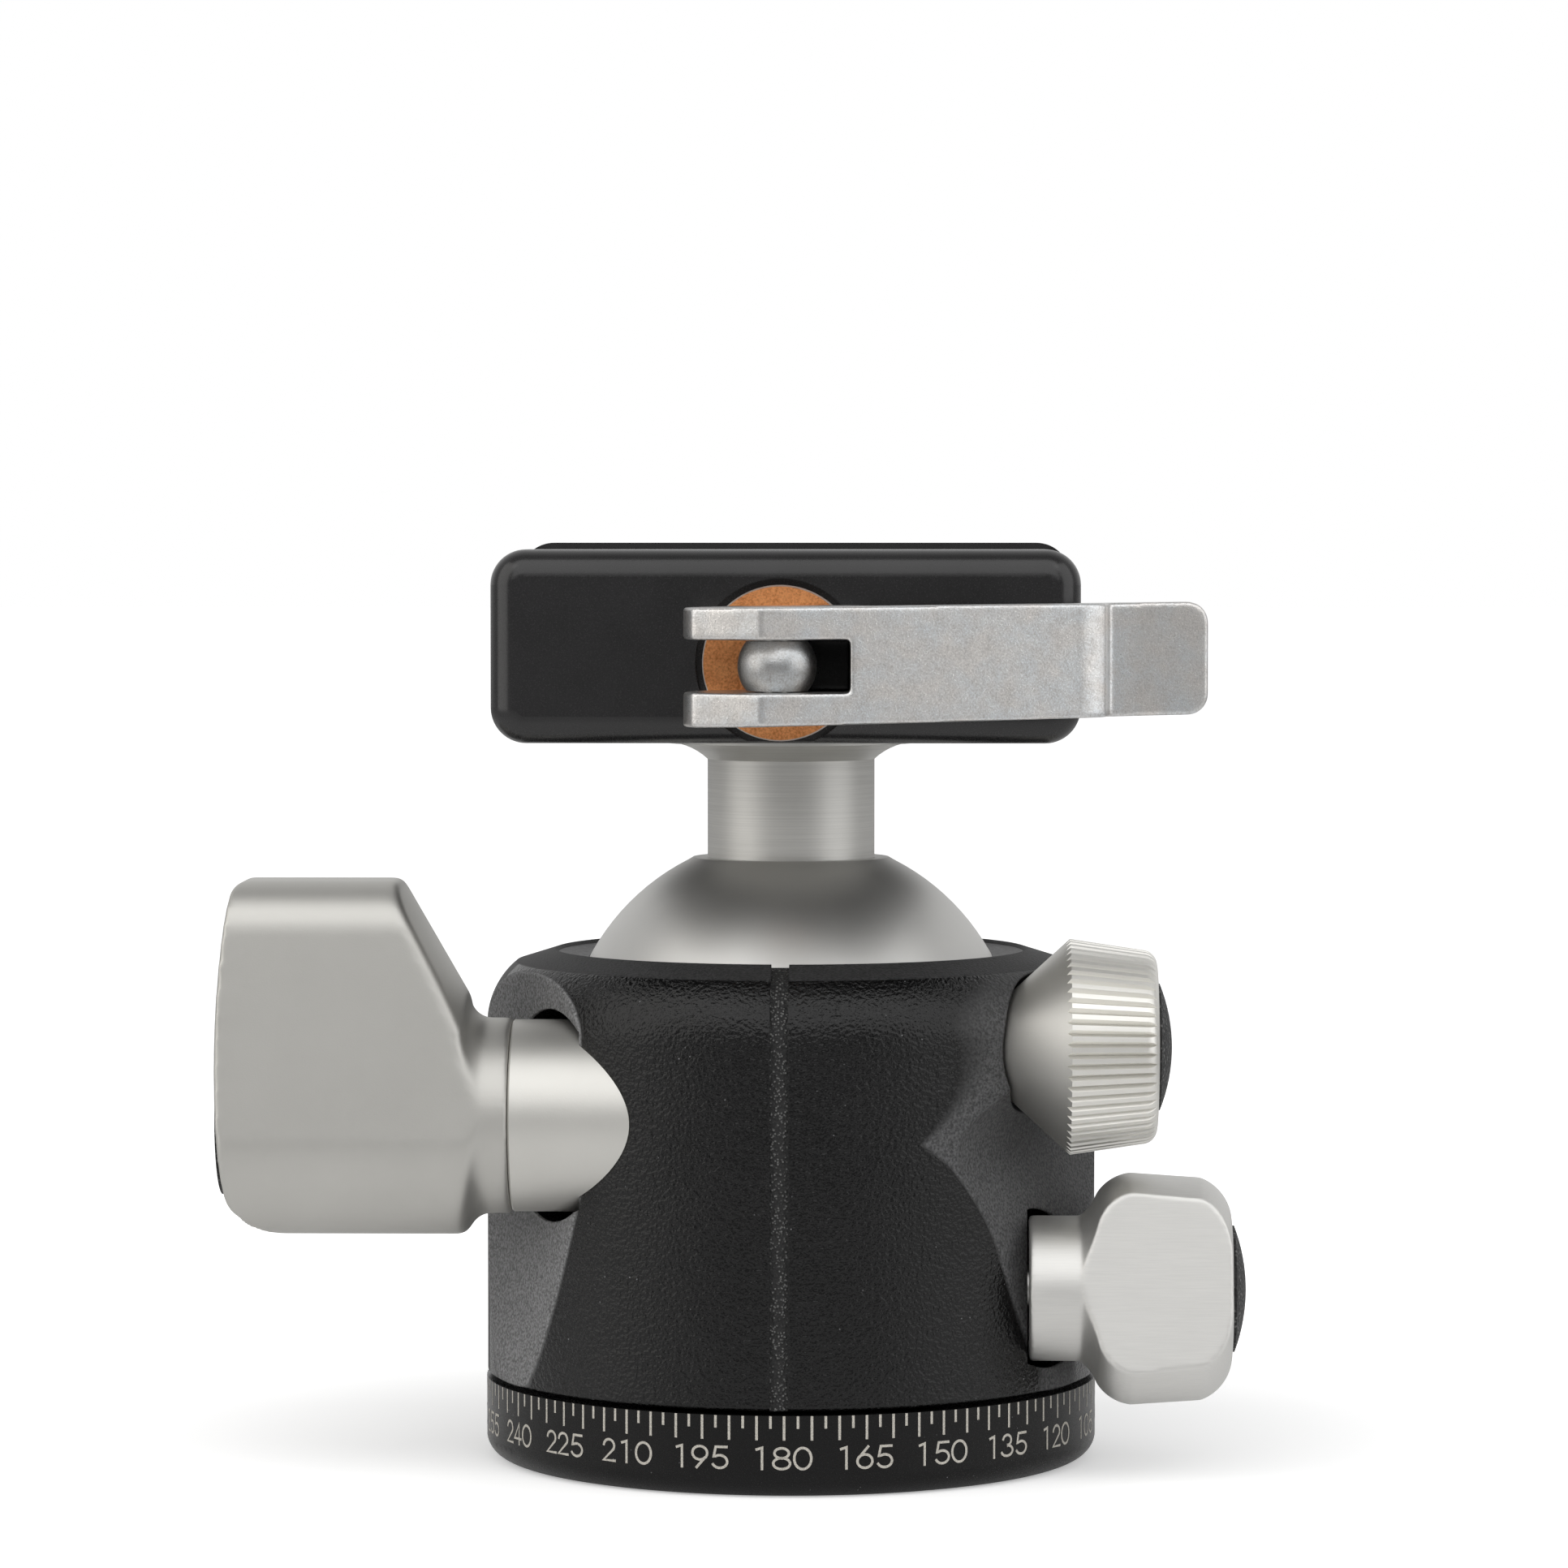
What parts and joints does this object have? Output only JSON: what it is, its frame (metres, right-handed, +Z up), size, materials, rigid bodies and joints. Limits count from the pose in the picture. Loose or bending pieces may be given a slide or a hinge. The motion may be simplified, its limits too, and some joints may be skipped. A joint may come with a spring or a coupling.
{
  "type": "tripod ball head",
  "caption": "Compact tripod ball head: panning base with a degree ring, split housing, ball and neck, lever-locked dovetail clamp and lock knobs.",
  "frame": {"origin": "centre of the base's underside, on the axis of the tripod thread", "axes": "+Z up along the neck, -Y the front with the lever, +X the side of the two small knobs"},
  "size_m": [0.0878, 0.0654, 0.0799],
  "materials": {
    "black_base": "satin",
    "steel_insert": "turned",
    "plain_aluminium": "turned",
    "screw_steel": "machined",
    "white_plastic": "matte",
    "black_plastic": "matte",
    "black_housing": "fine bead texture",
    "granular_strip": "granular",
    "satin_anodised": "bead blasted",
    "brushed_anodised": "finely brushed",
    "ball_silver": "satin",
    "black_clamp": "satin",
    "copper_washer": "satin",
    "rod_steel": "tumbled",
    "tumbled_steel": "tumbled",
    "rubber_cap": "granular"
  },
  "bodies": {
    "base": {"pan_base": "black_base", "thread_insert": "steel_insert", "pan_drum": "plain_aluminium", "drum_screws": "screw_steel", "pan_washer": "white_plastic"},
    "housing": {"housing": "black_housing", "slot_seal": "granular_strip", "upper_seat": "black_plastic", "main_sleeve": "satin_anodised", "main_shoe": "white_plastic", "friction_pad": "white_plastic", "pan_shoe": "white_plastic"},
    "seat": {"lower_seat": "white_plastic"},
    "ball": {"ball_stem": "ball_silver"},
    "clamp": {"clamp_body": "black_clamp", "draw_rod": "rod_steel", "guide_pins": "screw_steel", "jaw_spring": "screw_steel", "clamp_screw": "screw_steel"},
    "jaw": {"moving_jaw": "black_clamp", "cam_washer": "copper_washer", "washer_backing": "screw_steel"},
    "lever": {"lever": "tumbled_steel", "lever_pin": "rod_steel"},
    "main_knob": {"main_knob": "satin_anodised", "main_knob_cap": "rubber_cap", "main_screw": "screw_steel"},
    "friction_knob": {"friction_knob": "satin_anodised", "friction_knob_cap": "rubber_cap", "friction_screw": "screw_steel"},
    "pan_knob": {"pan_knob": "brushed_anodised", "pan_knob_cap": "rubber_cap", "pan_screw": "screw_steel"}
  },
  "joints": [
    {"name": "pan", "type": "hinge", "parent": "base", "child": "housing", "pos_m": [0, 0, 0.012], "axis": [0, 0, 1], "continuous": true},
    {"name": "ball_direction", "type": "hinge", "parent": "housing", "child": "seat", "pos_m": [0, 0, 0.0343], "axis": [0, 0, 1], "range_deg": [-45, 45]},
    {"name": "ball_tilt", "type": "hinge", "parent": "seat", "child": "ball", "pos_m": [0, 0, 0.0343], "axis": [1, 0, 0], "range_deg": [-35, 35]},
    {"name": "ball_spin", "type": "hinge", "parent": "ball", "child": "clamp", "pos_m": [0, 0, 0.0343], "axis": [0, 0, 1], "continuous": true},
    {"name": "lever_swing", "type": "hinge", "parent": "clamp", "child": "lever", "pos_m": [-0.0004, -0.0342, 0.06988], "axis": [0, 0, 1], "range_deg": [-100, 0]},
    {"name": "jaw_slide", "type": "slide", "parent": "clamp", "child": "jaw", "axis": [0, -1, 0], "range_m": [0, 0.0024]},
    {"name": "main_lock", "type": "hinge", "parent": "housing", "child": "main_knob", "pos_m": [-0.03, -0.015, 0.03105], "axis": [1, 0, 0], "range_deg": [-60, 200]},
    {"name": "friction_lock", "type": "hinge", "parent": "housing", "child": "friction_knob", "pos_m": [0.025, -0.015, 0.037], "axis": [1, 0, 0], "range_deg": [-180, 180]},
    {"name": "pan_lock", "type": "hinge", "parent": "housing", "child": "pan_knob", "pos_m": [0.03, -0.014, 0.0162], "axis": [1, 0, 0], "range_deg": [-90, 200]}
  ],
  "couplings": [
    {"joint": "jaw_slide", "follows": "lever_swing", "m_per_rad": -0.001375}
  ]
}
